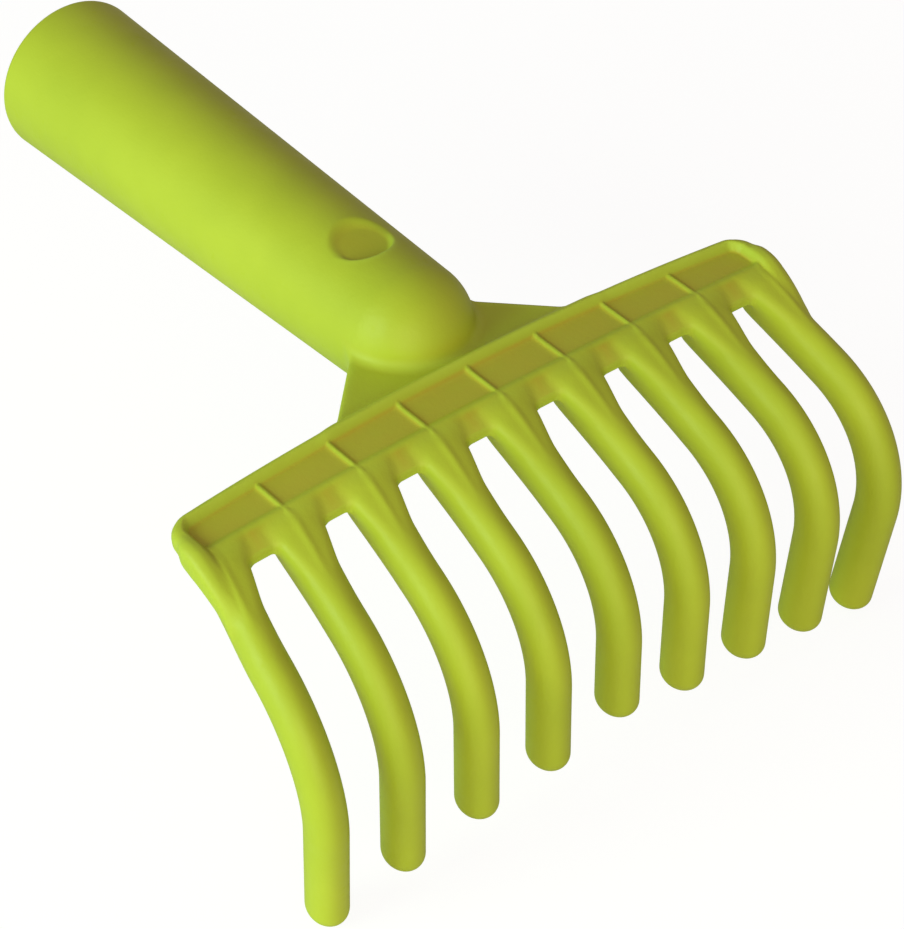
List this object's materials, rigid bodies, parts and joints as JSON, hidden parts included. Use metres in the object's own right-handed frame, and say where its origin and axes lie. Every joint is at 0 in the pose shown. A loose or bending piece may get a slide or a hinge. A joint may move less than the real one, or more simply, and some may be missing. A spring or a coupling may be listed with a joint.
{
  "type": "olive hand rake",
  "caption": "One-piece moulded plastic hand rake with a round hollow handle and a wide comb head of downward-curved claw tines for stripping olives off branches.",
  "frame": {"origin": "centre of the handle's open mouth, on the axis of the pole socket", "axes": "+Y out of the handle's mouth along its axis, the head and its tines towards -Y; +X across the head; +Z away from the side to which the tines curl"},
  "size_m": [0.1584, 0.1978, 0.0922],
  "materials": {
    "lime_plastic": "satin"
  },
  "bodies": {
    "root": {"handle_tube": "lime_plastic", "handle_nose": "lime_plastic", "neck_web": "lime_plastic", "head_plate": "lime_plastic", "rear_rim": "lime_plastic", "left_end_rim": "lime_plastic", "right_end_rim": "lime_plastic", "mid_ridge": "lime_plastic", "cross_rib_2": "lime_plastic", "cross_rib_3": "lime_plastic", "cross_rib_4": "lime_plastic", "cross_rib_5": "lime_plastic", "cross_rib_6": "lime_plastic", "cross_rib_7": "lime_plastic", "cross_rib_8": "lime_plastic", "tine_1": "lime_plastic", "tine_2": "lime_plastic", "tine_3": "lime_plastic", "tine_4": "lime_plastic", "tine_5": "lime_plastic", "tine_6": "lime_plastic", "tine_7": "lime_plastic", "tine_8": "lime_plastic", "tine_9": "lime_plastic"}
  },
  "joints": []
}
